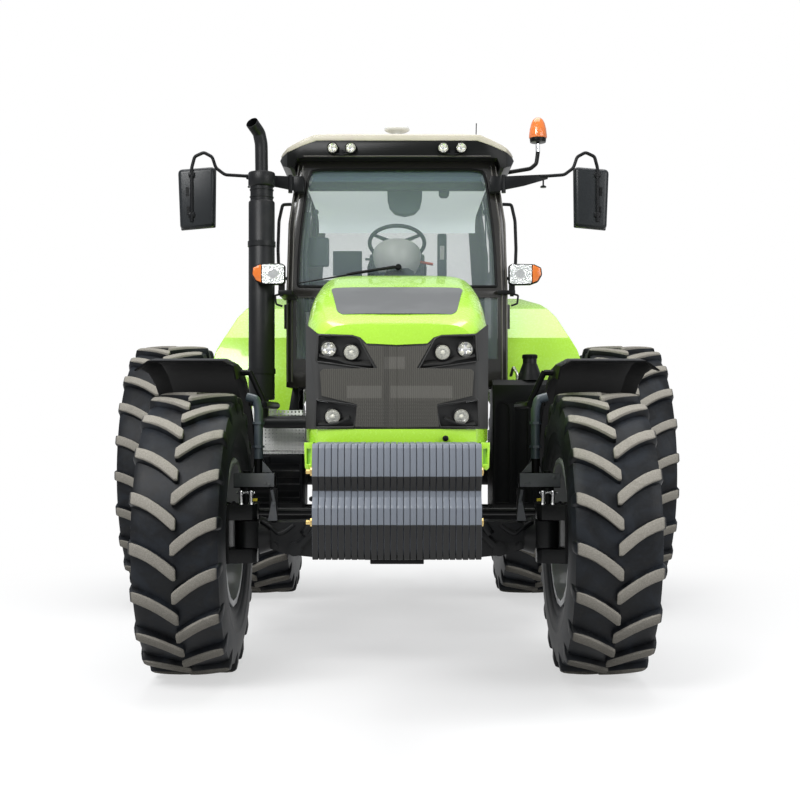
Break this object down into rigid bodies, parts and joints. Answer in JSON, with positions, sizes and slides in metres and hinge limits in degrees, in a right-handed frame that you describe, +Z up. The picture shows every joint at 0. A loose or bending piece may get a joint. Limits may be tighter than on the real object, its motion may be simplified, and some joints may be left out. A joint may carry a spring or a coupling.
{
  "type": "farm tractor",
  "caption": "Row-crop farm tractor with enclosed cab, lugged tyres with dual rear wheels, front suitcase weights, tilting bonnet and rear three-point hitch.",
  "frame": {"origin": "centre of the bounding box's footprint, on the ground under the tyres", "axes": "+X is the machine's left, -Y is forward (the nose), +Z is up"},
  "size_m": [3.858, 5.6494, 3.221],
  "materials": {
    "body_green": "semi-gloss lime green",
    "black_metal": "satin black",
    "casting": "satin dark grey castings",
    "weight_grey": "painted dark grey iron",
    "rim_grey": "satin mid-grey",
    "tyre": "dusty rubber",
    "steel": "bare steel",
    "roof_cream": "cream",
    "black_plastic": "textured black",
    "slate": "dark slate",
    "grille_brown": "charcoal brown mesh",
    "lamp_clear": "clear lens",
    "amber": "amber lens",
    "red_lens": "red lens",
    "cab_glass": "clear tinted",
    "seat_fabric": "woven dark grey",
    "guard_alu": "perforated aluminium",
    "dome_white": "white",
    "exhaust_black": "heat-resistant black"
  },
  "bodies": {
    "chassis": {"front_axle": "casting", "front_frame": "casting", "engine": "casting", "radiator": "casting", "bonnet_hinge_frame": "black_metal", "transmission": "casting", "rear_axle": "casting", "prop_shaft": "casting", "weight_carrier": "casting", "front_weights": "weight_grey", "fuel_tank": "black_plastic", "side_box": "black_plastic", "perforated_guard": "guard_alu", "steps": "black_metal", "exhaust": "exhaust_black", "cab_frame": "black_metal", "cab_windows": "cab_glass", "roof_base": "black_plastic", "cab_roof": "roof_cream", "work_lamps": "lamp_clear", "roof_dome": "dome_white", "beacon": "amber", "rear_fenders": "body_green", "seat_base": "black_plastic", "seat": "seat_fabric", "steering_column": "black_plastic", "control_console": "black_plastic", "mirrors": "black_plastic", "side_lamps": "amber", "grab_rails": "black_metal", "rear_lamps": "red_lens", "hitch_frame": "casting", "drawbar": "casting", "pto_shaft": "steel", "top_link": "casting"},
    "front_wheel_left": {"front_tyre_left": "tyre", "front_rim_left": "rim_grey"},
    "front_wheel_right": {"front_tyre_right": "tyre", "front_rim_right": "rim_grey"},
    "rear_wheels_left": {"rear_tyres_left": "tyre", "rear_rims_left": "rim_grey"},
    "rear_wheels_right": {"rear_tyres_right": "tyre", "rear_rims_right": "rim_grey"},
    "knuckle_left": {"knuckle_left": "casting"},
    "knuckle_right": {"knuckle_right": "casting"},
    "tie_rod": {"tie_rod": "steel"},
    "mudguard_left": {"front_mudguard_left": "black_plastic"},
    "mudguard_right": {"front_mudguard_right": "black_plastic"},
    "bonnet": {"bonnet": "body_green", "bonnet_insert": "slate", "grille": "grille_brown", "headlamps": "lamp_clear"},
    "door_left": {"door_left": "black_metal", "door_glass_left": "cab_glass"},
    "door_right": {"door_right": "black_metal", "door_glass_right": "cab_glass"},
    "steering_wheel": {"steering_wheel": "black_plastic"},
    "lift_arms": {"lift_arms": "casting"},
    "lift_rods": {"lift_rods": "steel"},
    "lower_links": {"lower_links": "casting"}
  },
  "joints": [
    {"name": "steer_left", "type": "hinge", "parent": "chassis", "child": "knuckle_left", "pos_m": [0.77, -1.325, 0.717], "axis": [0, 0, 1], "range_deg": [-40, 40]},
    {"name": "steer_right", "type": "hinge", "parent": "chassis", "child": "knuckle_right", "pos_m": [-0.77, -1.325, 0.717], "axis": [0, 0, 1], "range_deg": [-40, 40]},
    {"name": "tie_rod_pivot", "type": "hinge", "parent": "knuckle_left", "child": "tie_rod", "pos_m": [0.77, -1.005, 0.798], "axis": [0, 0, 1], "range_deg": [-40, 40]},
    {"name": "mudguard_left_pivot", "type": "hinge", "parent": "chassis", "child": "mudguard_left", "pos_m": [0.77, -1.325, 0.98], "axis": [0, 0, 1], "range_deg": [-20, 20]},
    {"name": "mudguard_right_pivot", "type": "hinge", "parent": "chassis", "child": "mudguard_right", "pos_m": [-0.77, -1.325, 0.98], "axis": [0, 0, 1], "range_deg": [-20, 20]},
    {"name": "front_wheel_left_spin", "type": "hinge", "parent": "knuckle_left", "child": "front_wheel_left", "pos_m": [1.02, -1.325, 0.717], "axis": [1, 0, 0], "continuous": true},
    {"name": "front_wheel_right_spin", "type": "hinge", "parent": "knuckle_right", "child": "front_wheel_right", "pos_m": [-1.02, -1.325, 0.717], "axis": [1, 0, 0], "continuous": true},
    {"name": "rear_wheels_left_spin", "type": "hinge", "parent": "chassis", "child": "rear_wheels_left", "pos_m": [1.01, 1.575, 0.925], "axis": [1, 0, 0], "continuous": true},
    {"name": "rear_wheels_right_spin", "type": "hinge", "parent": "chassis", "child": "rear_wheels_right", "pos_m": [-1.01, 1.575, 0.925], "axis": [1, 0, 0], "continuous": true},
    {"name": "bonnet_hinge", "type": "hinge", "parent": "chassis", "child": "bonnet", "pos_m": [0, -0.36, 2.085], "axis": [-1, 0, 0], "range_deg": [0, 48]},
    {"name": "door_left_hinge", "type": "hinge", "parent": "chassis", "child": "door_left", "pos_m": [0.684, 0.508, 1.83], "axis": [0, 0, 1], "range_deg": [0, 70]},
    {"name": "door_right_hinge", "type": "hinge", "parent": "chassis", "child": "door_right", "pos_m": [-0.684, 0.508, 1.83], "axis": [0, 0, -1], "range_deg": [0, 70]},
    {"name": "steering_wheel_turn", "type": "hinge", "parent": "chassis", "child": "steering_wheel", "pos_m": [0, 0.325, 2.44], "axis": [0, 0.5, 0.866], "continuous": true},
    {"name": "hitch_lift", "type": "hinge", "parent": "chassis", "child": "lift_arms", "pos_m": [0, 1.9, 1.25], "axis": [1, 0, 0], "range_deg": [-12, 28]},
    {"name": "lower_link_pivot", "type": "hinge", "parent": "chassis", "child": "lower_links", "pos_m": [0, 1.9, 0.56], "axis": [1, 0, 0], "range_deg": [-12, 28]},
    {"name": "lift_rod_pivot", "type": "hinge", "parent": "lift_arms", "child": "lift_rods", "pos_m": [0, 2.34, 1.18], "axis": [1, 0, 0], "range_deg": [-28, 12]}
  ],
  "couplings": [
    {"joint": "steer_right", "follows": "steer_left", "ratio": 1},
    {"joint": "tie_rod_pivot", "follows": "steer_left", "ratio": -1},
    {"joint": "mudguard_left_pivot", "follows": "steer_left", "ratio": 0.5},
    {"joint": "mudguard_right_pivot", "follows": "steer_left", "ratio": 0.5},
    {"joint": "lower_link_pivot", "follows": "hitch_lift", "ratio": 1},
    {"joint": "lift_rod_pivot", "follows": "hitch_lift", "ratio": -1}
  ]
}
